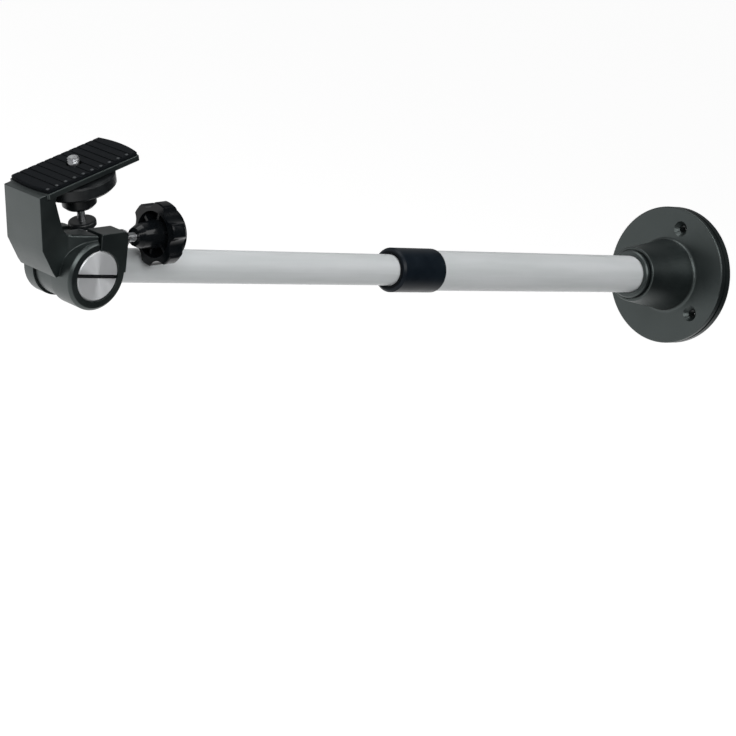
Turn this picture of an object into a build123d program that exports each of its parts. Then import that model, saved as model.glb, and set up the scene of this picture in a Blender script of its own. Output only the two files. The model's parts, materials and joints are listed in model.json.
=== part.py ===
import os
from math import cos, radians, sin

from build123d import *

# Telescopic wall bracket for a camera.
# The wall plane is x = 0, the arm runs out along -X, +Z is up, and -Y is the side of the clamp.
# Millimetres throughout.

# A cut runs this far past what it cuts
CUT_SPARE = 1.0

# Wall flange
FLANGE_R = 47.3
FLANGE_T = 10.0
FLANGE_ROUND = 0.8
RIM_GROOVE_W = 2.0
RIM_GROOVE_DEPTH = 1.1
RIM_FRONT_W = 3.4
BOLT_PCD = 68.0
BOLT_COUNT = 3
BOLT_HOLE_R = 2.6
BOLT_SINK_R = 5.3
BOLT_SINK_ANGLE = 90.0
BOLT_FIRST_ANGLE = 84.0
HUB_BASE_R = 24.5
HUB_MOUTH_WALL = 2.4
HUB_END_X = -49.5
HUB_FILLET_R = 2.2
HUB_MOUTH_ROUND = 0.8
BACK_RECESS_DEPTH = 4.2
BACK_RIM_W = 4.5
BACK_BOSS_R = 8.2
BACK_RIB_T = 3.0
TUBE_SEAT_X = -5.0

# Ring pressed into the hub mouth
HUB_RING_WALL = 3.7
HUB_RING_SEAT = 8.5
HUB_RING_PROUD = 3.5
HUB_RING_CHAMFER = 0.9
HUB_RING_LEAD_IN = 0.5
MOUTH_GROOVE_W = 0.9
MOUTH_GROOVE_DEPTH = 1.6

# Set screws under the hub
GRUB_R = 2.5
GRUB_LEN = 8.0
GRUB_HEX = 2.5
GRUB_HEX_DEPTH = 2.5
GRUB_XS = (-16.0, -32.0)

# Tubes
OUTER_TUBE_R = 12.5
OUTER_TUBE_WALL = 1.5
INNER_TUBE_R = 9.5
INNER_TUBE_WALL = 1.5
FIT = 0.05
OUTER_TUBE_END_X = -289.0
INNER_TUBE_BACK_X = -190.0

# Lock collar and the split collet that it squeezes
COLLAR_LEN = 38.0
COLLAR_LIP = 1.0
COLLAR_WALL = 0.8
COLLAR_BACK_ROUND = 0.65
COLLAR_FRONT_CHAMFER = 1.2
GAP = 0.3
COLLET_LEN = 14.0
COLLET_CONE_LEN = 4.0
COLLET_CONE_DROP = 1.3
COLLET_STEP = 0.2
COLLET_SLIT = 1.2
WIPER_T = 2.0
WIPER_W = 1.6
WIPER_PROUD = 0.4

# Guide bush at the back end of the inner tube
BUSH_LEN = 20.0
BUSH_SHANK_LEN = 18.0
BUSH_BORE_R = 4.0
BUSH_CHAMFER = 0.6
BUSH_GROOVE_W = 3.2
BUSH_GROOVE_DEPTH = 1.6
BUSH_PIN_R = 1.4

# Knuckle: a flat barrel across the arm, with a spigot in the inner tube
PIVOT_X = -548.0
KNUCKLE_DROP = 1.4
KNUCKLE_HALF = 6.6
NECK_ROUND = 1.5
NECK_START = 20.2
NECK_END = 24.0
SPIGOT_LEN = 22.0
PIN_R = 2.0
PIN_LEN = 14.5
PIN_BACK = 12.0
WASHER_T = 0.5
WASHER_GAP = 0.05
WASHER_DROP = 1.0

# Pivot shaft: a drum that the clamp ring grips, and a core through knuckle and far lug
DRUM_R = 13.8
SHAFT_R = 7.0
DRUM_FACE_SINK = 0.2
SLOT_W = 2.0
SLOT_DEPTH = 3.0
DRUM_CHAMFER = 1.0
KEY_SEAT_DEPTH = 1.0
END_WASHER_R = 10.0
END_WASHER_T = 1.6
END_WASHER_CHAMFER = 0.3
END_SCREW_R = 2.5
END_SCREW_LEN = 14.0
END_SCREW_HEAD_R = 4.75
END_SCREW_HEAD_T = 2.8
END_SCREW_HEAD_ROUND = 1.7
END_SCREW_TIP_GAP = 1.0
END_SCREW_HEX = 3.0
KEY_SCREW_LEN = 7.0

# Camera head, in its own frame: u along the platform towards the wall, w up, v towards the clamp
REST_TILT = 23.0
LUG_WALL = 5.2
LUG_T = 7.8
BOSS_FACE = 23.6
BOSS_CHAMFER = 1.6
WEB_TOP_OUT_U = -23.1
WEB_TOP_DROP = 0.6
WEB_FOLD_U = -26.3
WEB_FOLD_W = 22.6
FACET_END_U = -21.9
FACET_END_W = 8.2
FACET_LIP_U = 1.4
FACET_LIP_W = 3.2
WEB_TOP_IN_U = -14.0
WEB_LOW_IN_U = -11.0
WEB_LOW_IN_W = 22.0
WEB_FOOT = 2.0
INNER_CORNER_R = 4.0
PLATE_HALF = 16.5
PLATE_BACK_U = -17.9
PLATE_FRONT_U = 42.0
PLATE_TOP_W = 52.2
PLATE_T = 3.0
PLATE_BOW = 2.2
PAD_INSET = 0.7
PAD_T = 2.2
PAD_EDGE = 0.5
PAD_GROOVES = 10
PAD_GROOVE_W = 1.2
PAD_GROOVE_DEPTH = 0.45

# Clamp: the near lug is split, and a stud pulls its ear against the fixed half
CLAMP_DIP = 15.5
STUD_TO_DRUM = 0.6
CLAMP_V = 17.3
SLIT_W = 1.2
EAR_LEN = 18.8
EAR_TOP_WALL = 3.2
EAR_ROUND = 3.2
EAR_BACK = 6.7
WEDGE_LEN = 16.0
WEDGE_TOP_WALL = 2.4
WEDGE_FACE_DROP = 1.4
WEDGE_ROUND = 1.2
SADDLE_R = 8.0
SADDLE_SINK = 1.0
STUD_R = 2.5
STUD_REACH = 5.0
STUD_HOLE_SPARE = 0.6
STUD_CLEAR = 0.35
STUD_FLANGE_R = 4.4
STUD_FLANGE_T = 1.4
STUD_TIP_CHAMFER = 0.5
CLAMP_WASHER_R = 5.0
CLAMP_WASHER_T = 1.0

# Clamp knob: a lobed cup, open towards the ear, on a long hub, with a smooth cap outside
STUD_SHOWN = 8.8
KNOB_TIP_R = 5.0
KNOB_NECK_LEN = 3.4
KNOB_NECK_R = 6.6
KNOB_HUB_R = 8.6
KNOB_HUB_LEN = 12.9
KNOB_RIM_T = 6.2
KNOB_SHOULDER_T = 3.5
KNOB_R = 18.0
KNOB_SHOULDER_STEP = 0.4
KNOB_LOBES = 6
KNOB_LOBE_ANGLE = 20.0
KNOB_FLUTE_R = 7.0
KNOB_FLUTE_FLOOR = 14.4
KNOB_LOBE_ROUND = 2.0
KNOB_WALL = 1.7
KNOB_CUP_DEPTH = 6.0
KNOB_EDGE_ROUND = 0.6
KNOB_RIB_T = 1.6
KNOB_RIB_SINK = 1.5
KNOB_CAP_DROP = 0.2
KNOB_CAP_T = 3.0
KNOB_CAP_ROUND = 1.2
KNOB_SPIGOT_R = 9.0
KNOB_SPIGOT_LEN = 2.0
STUD_IN_KNOB = 17.0

# Camera screw, its thumb knob and the lock wheel
SCREW_U = 11.7
SCREW_R = 3.175
SCREW_PROUD = 3.6
SCREW_TIP_CHAMFER = 0.6
SCREW_CLEAR = 0.325
PAD_HOLE_CLEAR = 1.025
STEM_R = 2.2
RELIEF_DEPTH = 0.275
RELIEF_EDGE = 0.2
STEM_IN_BOSS = 1.7
THUMB_R = 7.6
THUMB_T = 3.6
THUMB_GAP = 0.4
THUMB_ROUND = 1.5
THUMB_CHAMFER = 0.6
WHEEL_R = 21.0
WHEEL_TOP_GAP = 1.1
WHEEL_T = 7.5
WHEEL_TOP_CHAMFER = 0.8
WHEEL_BEVEL = 1.4
WHEEL_BOSS_R = 9.3
WHEEL_BOSS_LEN = 10.8
WHEEL_BOSS_CHAMFER = 1.6
INSERT_WALL = 1.825
INSERT_LEN = 12.0
WHEEL_WASHER_R = 7.0
WHEEL_WASHER_T = 0.8
WHEEL_WASHER_CLEAR = 0.25

# Places that follow from the sizes above
OUTER_BORE_R = OUTER_TUBE_R - OUTER_TUBE_WALL
INNER_BORE_R = INNER_TUBE_R - INNER_TUBE_WALL
HUB_RING_R = OUTER_TUBE_R + HUB_RING_WALL
HUB_MOUTH_R = HUB_RING_R + HUB_MOUTH_WALL
COLLAR_R = OUTER_TUBE_R + GAP + COLLAR_WALL
LUG_R = DRUM_R + LUG_WALL
KNUCKLE_R = LUG_R - KNUCKLE_DROP
WASHER_R = KNUCKLE_R - WASHER_DROP
GAP_HALF = KNUCKLE_HALF + WASHER_T + 2 * WASHER_GAP
BODY_HALF = GAP_HALF + LUG_T
CLAMP_R = DRUM_R + STUD_R + STUD_TO_DRUM
EAR_TOP = CLAMP_R + STUD_R + EAR_TOP_WALL
EAR_BACK_V = CLAMP_V - EAR_BACK
WEDGE_TOP = CLAMP_R + STUD_R + WEDGE_TOP_WALL
WEDGE_FACE = BOSS_FACE - WEDGE_FACE_DROP
KNOB_START = EAR_LEN + STUD_SHOWN
KNOB_BACK_S = KNOB_START + KNOB_HUB_LEN
KNOB_CAP_R = KNOB_FLUTE_FLOOR - KNOB_CAP_DROP
KNOB_SHOULDER_R = KNOB_CAP_R + KNOB_SHOULDER_STEP
KNOB_CUP_R = KNOB_FLUTE_FLOOR - KNOB_WALL
SCREW_HOLE_R = SCREW_R + SCREW_CLEAR
PAD_HOLE_R = SCREW_R + PAD_HOLE_CLEAR
RELIEF_R = SCREW_R - RELIEF_DEPTH
INSERT_R = SCREW_R + INSERT_WALL
COLLAR_FRONT_X = OUTER_TUBE_END_X - COLLET_CONE_LEN - COLLAR_LIP - WIPER_T
COLLAR_BACK_X = COLLAR_FRONT_X + COLLAR_LEN
BACK_RIM_R = FLANGE_R - BACK_RIM_W
PLATE_BOTTOM_W = PLATE_TOP_W - PLATE_T
PAD_TOP_W = PLATE_TOP_W + PAD_T
WHEEL_TOP_W = PLATE_BOTTOM_W - WHEEL_TOP_GAP
WHEEL_BOTTOM_W = WHEEL_TOP_W - WHEEL_T
WHEEL_BOSS_BOTTOM_W = WHEEL_BOTTOM_W - WHEEL_BOSS_LEN
STEM_TOP_W = WHEEL_BOSS_BOTTOM_W + STEM_IN_BOSS
THUMB_BOTTOM_W = KNUCKLE_R + THUMB_GAP
THUMB_TOP_W = THUMB_BOTTOM_W + THUMB_T
HUB_RING_FRONT_X = HUB_END_X - HUB_RING_PROUD
KNOB_FACE_S = KNOB_BACK_S + KNOB_RIM_T + KNOB_SHOULDER_T
DRUM_BORE_R = DRUM_R + FIT
SHAFT_BORE_R = SHAFT_R + FIT

# Head frame as vectors in the arm's frame
U_DIR = Vector(cos(radians(REST_TILT)), 0, sin(radians(REST_TILT)))
W_DIR = Vector(-sin(radians(REST_TILT)), 0, cos(radians(REST_TILT)))
V_DIR = Vector(0, -1, 0)
PIVOT = Vector(PIVOT_X, 0, 0)

# Clamp frame: s along the stud, away from the slit, and r out from the pivot through the slit
S_DIR = U_DIR * cos(radians(CLAMP_DIP)) - W_DIR * sin(radians(CLAMP_DIP))
R_DIR = U_DIR * sin(radians(CLAMP_DIP)) + W_DIR * cos(radians(CLAMP_DIP))


def arm_plane(x):
    """Plane across the arm at x, its normal along -X, its own x along -Y and its own y along +Z."""
    return Plane(origin=(x, 0, 0), x_dir=(0, -1, 0), z_dir=(-1, 0, 0))


def axial_plane():
    """Plane that holds the arm's axis: its x is the row's X and its y is +Z."""
    return Plane(origin=(0, 0, 0), x_dir=(1, 0, 0), z_dir=(0, -1, 0))


def side_plane(v):
    """Plane across the pivot at v in the head frame: its x is u, its y is w and its normal is v."""
    return Plane(origin=PIVOT + V_DIR * v, x_dir=U_DIR, z_dir=V_DIR)


def pivot_plane(v):
    """Plane across the pivot at v in the arm's frame: its x is the row's X and its y is +Z."""
    return Plane(origin=PIVOT + V_DIR * v, x_dir=(1, 0, 0), z_dir=V_DIR)


def deck_plane(w):
    """Plane parallel to the platform at height w: its x is u and its y points away from the clamp."""
    return Plane(origin=PIVOT + W_DIR * w, x_dir=U_DIR, z_dir=W_DIR)


def screw_plane():
    """Plane through the camera screw's axis: its x is u, from the screw, and its y is w."""
    return Plane(origin=PIVOT + U_DIR * SCREW_U, x_dir=U_DIR, z_dir=V_DIR)


def clamp_side_plane(v):
    """Plane across the pivot in the clamp frame: its x is s and its y is r."""
    return Plane(origin=PIVOT + V_DIR * v, x_dir=S_DIR, z_dir=V_DIR)


def stud_plane(s):
    """Plane across the stud at s, centred on the stud."""
    origin = PIVOT + V_DIR * CLAMP_V + S_DIR * s + R_DIR * CLAMP_R
    return Plane(origin=origin, x_dir=V_DIR, z_dir=S_DIR)


def clamp_top_plane(r):
    """Plane across the slit at height r: its x is s, and its y points away from the clamp's side."""
    return Plane(origin=PIVOT + R_DIR * r, x_dir=S_DIR, z_dir=R_DIR)


def stud_axial_plane():
    """Plane that holds the stud's axis: its x is s and its y is the distance from the stud."""
    return Plane(origin=PIVOT + V_DIR * CLAMP_V + R_DIR * CLAMP_R, x_dir=S_DIR, z_dir=V_DIR)


def save(part, name):
    """Label one finished piece and write it."""
    part.label = name
    export_step(part, f"parts/{name}.step")


def make_wall_flange():
    """Cast flange with a hollow, ribbed back, a grooved rim and a tapered hub for the tube."""
    with BuildPart() as flange:
        with BuildSketch(axial_plane()):
            with BuildLine():
                Polyline(
                    (0, 0),
                    (0, FLANGE_R),
                    (-FLANGE_T, FLANGE_R),
                    (-FLANGE_T, HUB_BASE_R),
                    (HUB_END_X, HUB_MOUTH_R),
                    (HUB_END_X, 0),
                    close=True,
                )
            make_face()
        revolve(axis=Axis.X)
        hub_root = flange.edges().filter_by(GeomType.CIRCLE).filter_by(
            lambda e: abs(e.radius - HUB_BASE_R) < 0.01
        )
        fillet(hub_root, HUB_FILLET_R)
        rim_front = flange.edges().filter_by(GeomType.CIRCLE).filter_by(
            lambda e: abs(e.radius - FLANGE_R) < 0.01
        ).sort_by(Axis.X)[0]
        fillet(rim_front, FLANGE_ROUND)
        mouth_edge = flange.edges().filter_by(GeomType.CIRCLE).filter_by(
            lambda e: abs(e.radius - HUB_MOUTH_R) < 0.01
        )
        fillet(mouth_edge, HUB_MOUTH_ROUND)
        # Groove round the rim
        with BuildSketch(axial_plane()):
            with Locations((-FLANGE_T + RIM_FRONT_W + RIM_GROOVE_W / 2, FLANGE_R)):
                Rectangle(RIM_GROOVE_W, 2 * RIM_GROOVE_DEPTH)
        revolve(axis=Axis.X, mode=Mode.SUBTRACT)
        # Bore for the tube, the ring's seat and the groove round the ring
        with BuildSketch(arm_plane(HUB_END_X)):
            Circle(OUTER_TUBE_R)
        extrude(amount=HUB_END_X - TUBE_SEAT_X, mode=Mode.SUBTRACT)
        with BuildSketch(arm_plane(HUB_END_X)):
            Circle(HUB_RING_R)
        extrude(amount=-HUB_RING_SEAT, mode=Mode.SUBTRACT)
        with BuildSketch(arm_plane(HUB_END_X)):
            Circle(HUB_RING_R + MOUTH_GROOVE_W)
        extrude(amount=-MOUTH_GROOVE_DEPTH, mode=Mode.SUBTRACT)
        # Hollow back, with a pad round each screw and ribs between
        with BuildSketch(arm_plane(0)):
            Circle(BACK_RIM_R)
            Circle(HUB_BASE_R, mode=Mode.SUBTRACT)
            with PolarLocations(BOLT_PCD / 2, BOLT_COUNT, start_angle=BOLT_FIRST_ANGLE):
                Circle(BACK_BOSS_R, mode=Mode.SUBTRACT)
            mid_r = (BACK_RIM_R + HUB_BASE_R) / 2
            with PolarLocations(mid_r, 2 * BOLT_COUNT, start_angle=BOLT_FIRST_ANGLE):
                Rectangle(BACK_RIM_W + BACK_RIM_R - HUB_BASE_R, BACK_RIB_T, mode=Mode.SUBTRACT)
        extrude(amount=BACK_RECESS_DEPTH, mode=Mode.SUBTRACT)
        # Countersunk screw holes
        with Locations(arm_plane(-FLANGE_T)):
            with PolarLocations(BOLT_PCD / 2, BOLT_COUNT, start_angle=BOLT_FIRST_ANGLE):
                CounterSinkHole(
                    BOLT_HOLE_R,
                    BOLT_SINK_R,
                    depth=FLANGE_T,
                    counter_sink_angle=BOLT_SINK_ANGLE,
                )
        # Holes for the set screws, from below
        with BuildSketch(Plane.XY.offset(-HUB_BASE_R)):
            with Locations(*[(x, 0) for x in GRUB_XS]):
                Circle(GRUB_R)
        extrude(amount=HUB_BASE_R - OUTER_TUBE_R / 2, mode=Mode.SUBTRACT)
    return flange.part


def make_hub_ring():
    """Ring pressed into the hub mouth, round the tube, and proud of it."""
    with BuildPart() as ring:
        with BuildSketch(arm_plane(HUB_RING_FRONT_X)):
            Circle(HUB_RING_R)
            Circle(OUTER_TUBE_R, mode=Mode.SUBTRACT)
        extrude(amount=-HUB_RING_PROUD - HUB_RING_SEAT)
        front = ring.faces().sort_by(Axis.X)[0]
        bore_edge = front.inner_wires()[0].edges()
        chamfer(front.outer_wire().edges(), HUB_RING_CHAMFER)
        chamfer(bore_edge, HUB_RING_LEAD_IN)
    return ring.part


def make_hub_grub_screws():
    """Two socket set screws that hold the tube in the hub."""
    with BuildPart() as screws:
        with BuildSketch(Plane.XY.offset(-OUTER_TUBE_R)):
            with Locations(*[(x, 0) for x in GRUB_XS]):
                Circle(GRUB_R)
        extrude(amount=-GRUB_LEN)
        with BuildSketch(Plane.XY.offset(-OUTER_TUBE_R - GRUB_LEN)):
            with Locations(*[(x, 0) for x in GRUB_XS]):
                RegularPolygon(GRUB_HEX / 2, 6, major_radius=False)
        extrude(amount=GRUB_HEX_DEPTH, mode=Mode.SUBTRACT)
    return screws.part


def make_outer_tube():
    """Thick tube, fixed in the hub at its back end."""
    with BuildPart() as tube:
        with BuildSketch(arm_plane(TUBE_SEAT_X)):
            Circle(OUTER_TUBE_R)
            Circle(OUTER_BORE_R, mode=Mode.SUBTRACT)
        extrude(amount=TUBE_SEAT_X - OUTER_TUBE_END_X)
    return tube.part


def make_collet():
    """Split sleeve in the mouth of the thick tube, with a cone outside it."""
    bore = INNER_TUBE_R + FIT
    cone_r = OUTER_TUBE_R - COLLET_STEP
    x0 = OUTER_TUBE_END_X
    with BuildPart() as collet:
        with BuildSketch(axial_plane()):
            with BuildLine():
                Polyline(
                    (x0 + COLLET_LEN, bore),
                    (x0 + COLLET_LEN, OUTER_BORE_R),
                    (x0, OUTER_BORE_R),
                    (x0, cone_r),
                    (x0 - COLLET_CONE_LEN, cone_r - COLLET_CONE_DROP),
                    (x0 - COLLET_CONE_LEN, bore),
                    close=True,
                )
            make_face()
        revolve(axis=Axis.X)
        with BuildSketch(Plane.XY):
            with Locations((x0 + COLLET_LEN / 2 - COLLET_CONE_LEN / 2, 0)):
                Rectangle(COLLET_LEN + COLLET_CONE_LEN + CUT_SPARE, COLLET_SLIT)
        extrude(amount=OUTER_TUBE_R, mode=Mode.SUBTRACT)
    return collet.part


def make_lock_collar():
    """Turned sleeve over the tube's end: its cone closes the collet on the inner tube."""
    x0 = OUTER_TUBE_END_X
    front = COLLAR_FRONT_X
    sleeve_r = OUTER_TUBE_R + GAP
    cone_end_x = x0 - COLLET_CONE_LEN - GAP
    cone_r = OUTER_TUBE_R - COLLET_STEP - COLLET_CONE_DROP + GAP
    wiper_r = INNER_TUBE_R + GAP + WIPER_W
    with BuildPart() as collar:
        with BuildSketch(axial_plane()):
            with BuildLine():
                Polyline(
                    (COLLAR_BACK_X, sleeve_r),
                    (COLLAR_BACK_X, COLLAR_R),
                    (front, COLLAR_R),
                    (front, wiper_r),
                    (front + WIPER_T, wiper_r),
                    (front + WIPER_T, INNER_TUBE_R + 2 * GAP),
                    (cone_end_x, INNER_TUBE_R + 2 * GAP),
                    (cone_end_x, cone_r),
                    (x0 - GAP, sleeve_r),
                    close=True,
                )
            make_face()
        revolve(axis=Axis.X)
        rims = collar.edges().filter_by(GeomType.CIRCLE).filter_by(
            lambda e: abs(e.radius - COLLAR_R) < 0.01
        ).sort_by(Axis.X)
        chamfer(rims[0], COLLAR_FRONT_CHAMFER)
        fillet(rims[-1], min(COLLAR_BACK_ROUND, 0.85 * COLLAR_WALL))
    return collar.part


def make_wiper_ring():
    """Soft ring in the collar's face that keeps dirt off the sliding tube."""
    with BuildPart() as ring:
        with BuildSketch(arm_plane(COLLAR_FRONT_X + WIPER_T)):
            Circle(INNER_TUBE_R + GAP + WIPER_W)
            Circle(INNER_TUBE_R + GAP, mode=Mode.SUBTRACT)
        extrude(amount=WIPER_T + WIPER_PROUD)
    return ring.part


def make_guide_bush():
    """Sliding bush behind the inner tube, with a shank that the tube turns on."""
    back = INNER_TUBE_BACK_X + BUSH_LEN
    with BuildPart() as bush:
        with BuildSketch(arm_plane(back)):
            Circle(OUTER_BORE_R - FIT)
            Circle(BUSH_BORE_R, mode=Mode.SUBTRACT)
        extrude(amount=BUSH_LEN)
        chamfer(bush.edges().filter_by(GeomType.CIRCLE).sort_by(SortBy.RADIUS)[-2:], BUSH_CHAMFER)
        with BuildSketch(arm_plane(INNER_TUBE_BACK_X)):
            Circle(INNER_BORE_R - FIT)
            Circle(BUSH_BORE_R, mode=Mode.SUBTRACT)
        extrude(amount=BUSH_SHANK_LEN)
        groove_x = INNER_TUBE_BACK_X - BUSH_SHANK_LEN / 2
        with BuildSketch(axial_plane()):
            with Locations((groove_x, INNER_BORE_R)):
                Rectangle(BUSH_GROOVE_W, 2 * BUSH_GROOVE_DEPTH)
        revolve(axis=Axis.X, mode=Mode.SUBTRACT)
    return bush.part


def make_inner_tube():
    """Thin tube that slides and turns in the thick one."""
    front = PIVOT_X + NECK_END
    with BuildPart() as tube:
        with BuildSketch(arm_plane(INNER_TUBE_BACK_X)):
            Circle(INNER_TUBE_R)
            Circle(INNER_BORE_R, mode=Mode.SUBTRACT)
        extrude(amount=INNER_TUBE_BACK_X - front)
        # Cross hole for the spigot pin, from the far side, and the hole for the bush's pin
        with BuildSketch(Plane.XZ.offset(-INNER_TUBE_R - CUT_SPARE)):
            with Locations((front + PIN_BACK, 0)):
                Circle(PIN_R)
            with Locations((INNER_TUBE_BACK_X - BUSH_SHANK_LEN / 2, 0)):
                Circle(BUSH_PIN_R)
        extrude(amount=INNER_TUBE_R, mode=Mode.SUBTRACT)
    return tube.part


def make_bush_pin():
    """Pin through the tube's wall, into the bush's groove."""
    tip = INNER_BORE_R - BUSH_GROOVE_DEPTH + GAP
    with BuildPart() as pin:
        with BuildSketch(Plane.XZ.offset(-INNER_TUBE_R)):
            with Locations((INNER_TUBE_BACK_X - BUSH_SHANK_LEN / 2, 0)):
                Circle(BUSH_PIN_R)
        extrude(amount=INNER_TUBE_R - tip)
    return pin.part


def make_knuckle():
    """Flat barrel between the head's lugs, a neck, and a spigot in the tube."""
    with BuildPart() as knuckle:
        with BuildSketch(pivot_plane(-KNUCKLE_HALF)):
            Circle(KNUCKLE_R)
        extrude(amount=2 * KNUCKLE_HALF)
        # Neck, as wide as the tongue, up to the round shoulder
        with BuildSketch(pivot_plane(-KNUCKLE_HALF)):
            with Locations((NECK_END / 2, 0)):
                Rectangle(NECK_END, 2 * INNER_TUBE_R)
        extrude(amount=2 * KNUCKLE_HALF)
        web_corners = knuckle.edges().filter_by(Axis.Y).filter_by(
            lambda e: abs(abs(e.center().Z) - INNER_TUBE_R) < 0.1 and e.center().X < PIVOT_X + NECK_START
        )
        fillet(web_corners, NECK_ROUND)
        # Round shoulder and spigot
        with BuildSketch(arm_plane(PIVOT_X + NECK_END)):
            Circle(INNER_TUBE_R)
        extrude(amount=NECK_END - NECK_START)
        with BuildSketch(arm_plane(PIVOT_X + NECK_END + SPIGOT_LEN)):
            Circle(INNER_BORE_R)
        extrude(amount=SPIGOT_LEN)
        # Neck corners outside the tube's round are cut away
        with BuildSketch(arm_plane(PIVOT_X + NECK_END)):
            Rectangle(4 * INNER_TUBE_R, 4 * INNER_TUBE_R)
            Circle(INNER_TUBE_R, mode=Mode.SUBTRACT)
        extrude(amount=NECK_END - NECK_START, mode=Mode.SUBTRACT)
        # Bore for the shaft
        with BuildSketch(pivot_plane(-KNUCKLE_HALF)):
            Circle(SHAFT_R)
        extrude(amount=2 * KNUCKLE_HALF, mode=Mode.SUBTRACT)
        # Cross hole for the pin, and the key screw's hole from below
        with BuildSketch(Plane.XZ.offset(-INNER_TUBE_R)):
            with Locations((PIVOT_X + NECK_END + PIN_BACK, 0)):
                Circle(PIN_R)
        extrude(amount=PIN_LEN, mode=Mode.SUBTRACT)
        with BuildSketch(Plane.XY.offset(-KNUCKLE_R)):
            with Locations((PIVOT_X, 0)):
                Circle(GRUB_R)
        extrude(amount=KNUCKLE_R - SHAFT_R / 2, mode=Mode.SUBTRACT)
    return knuckle.part


def make_knuckle_pin():
    """Pin that holds the spigot in the tube, driven from the far side."""
    with BuildPart() as pin:
        with BuildSketch(Plane.XZ.offset(-INNER_TUBE_R)):
            with Locations((PIVOT_X + NECK_END + PIN_BACK, 0)):
                Circle(PIN_R)
        extrude(amount=PIN_LEN)
    return pin.part


def make_knuckle_washers():
    """Thin friction washers between the knuckle and the two lugs."""
    with BuildPart() as washers:
        for v in (KNUCKLE_HALF + WASHER_GAP, -KNUCKLE_HALF - WASHER_GAP - WASHER_T):
            with BuildSketch(pivot_plane(v)):
                Circle(WASHER_R)
                Circle(SHAFT_R + FIT, mode=Mode.SUBTRACT)
            extrude(amount=WASHER_T)
    return washers.part


def make_pivot_shaft():
    """Shaft with a wide drum in the clamp ring: its slotted end shows."""
    face = BOSS_FACE - DRUM_FACE_SINK
    back = -BODY_HALF
    with BuildPart() as shaft:
        with BuildSketch(pivot_plane(back)):
            Circle(SHAFT_R)
        extrude(amount=face - back)
        with BuildSketch(pivot_plane(GAP_HALF + WASHER_GAP)):
            Circle(DRUM_R)
        extrude(amount=face - GAP_HALF - WASHER_GAP)
        rim = shaft.faces().sort_by(Axis.Y)[0].edges()
        chamfer(rim, DRUM_CHAMFER)
        with BuildSketch(pivot_plane(face)):
            Rectangle(2 * DRUM_R + CUT_SPARE, SLOT_W)
        extrude(amount=-SLOT_DEPTH, mode=Mode.SUBTRACT)
        # Tapped hole in the far end
        with BuildSketch(pivot_plane(back)):
            Circle(END_SCREW_R)
        extrude(amount=END_SCREW_LEN, mode=Mode.SUBTRACT)
        # Seat for the key screw
        with BuildSketch(Plane.XY.offset(-SHAFT_R)):
            with Locations((PIVOT_X, 0)):
                Circle(GRUB_R)
        extrude(amount=KEY_SEAT_DEPTH, mode=Mode.SUBTRACT)
    return shaft.part


def make_shaft_key_screw():
    """Set screw through the knuckle that keys the shaft to it."""
    top = -SHAFT_R + KEY_SEAT_DEPTH
    with BuildPart() as screw:
        with BuildSketch(Plane.XY.offset(top)):
            with Locations((PIVOT_X, 0)):
                Circle(GRUB_R)
        extrude(amount=-KEY_SCREW_LEN)
        with BuildSketch(Plane.XY.offset(top - KEY_SCREW_LEN)):
            with Locations((PIVOT_X, 0)):
                RegularPolygon(GRUB_HEX / 2, 6, major_radius=False)
        extrude(amount=GRUB_HEX_DEPTH, mode=Mode.SUBTRACT)
    return screw.part


def make_shaft_washer():
    """Washer over the far lug's bore."""
    with BuildPart() as washer:
        with BuildSketch(pivot_plane(-BODY_HALF - WASHER_GAP)):
            Circle(END_WASHER_R)
            Circle(END_SCREW_R, mode=Mode.SUBTRACT)
        extrude(amount=-END_WASHER_T)
        chamfer(washer.faces().sort_by(Axis.Y)[-1].outer_wire().edges(), END_WASHER_CHAMFER)
    return washer.part


def make_shaft_screw():
    """Button screw that keeps the shaft and its washer in place."""
    seat = -BODY_HALF - WASHER_GAP - END_WASHER_T
    with BuildPart() as screw:
        with BuildSketch(pivot_plane(seat)):
            Circle(END_SCREW_HEAD_R)
        extrude(amount=-END_SCREW_HEAD_T)
        fillet(screw.faces().sort_by(Axis.Y)[-1].outer_wire().edges(), END_SCREW_HEAD_ROUND)
        with BuildSketch(pivot_plane(seat)):
            Circle(END_SCREW_R)
        extrude(amount=END_SCREW_LEN - END_SCREW_TIP_GAP)
        with BuildSketch(pivot_plane(seat - END_SCREW_HEAD_T)):
            RegularPolygon(END_SCREW_HEX / 2, 6, major_radius=False)
        extrude(amount=GRUB_HEX_DEPTH, mode=Mode.SUBTRACT)
    return screw.part


def plate_outline():
    """Platform outline: two straight sides, and ends that bow outwards."""
    with BuildSketch() as outline:
        with BuildLine():
            Line((PLATE_BACK_U, -PLATE_HALF), (PLATE_FRONT_U, -PLATE_HALF))
            ThreePointArc(
                (PLATE_FRONT_U, -PLATE_HALF),
                (PLATE_FRONT_U + PLATE_BOW, 0),
                (PLATE_FRONT_U, PLATE_HALF),
            )
            Line((PLATE_FRONT_U, PLATE_HALF), (PLATE_BACK_U, PLATE_HALF))
            ThreePointArc(
                (PLATE_BACK_U, PLATE_HALF),
                (PLATE_BACK_U - PLATE_BOW, 0),
                (PLATE_BACK_U, -PLATE_HALF),
            )
        make_face()
    return outline.sketch


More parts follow.
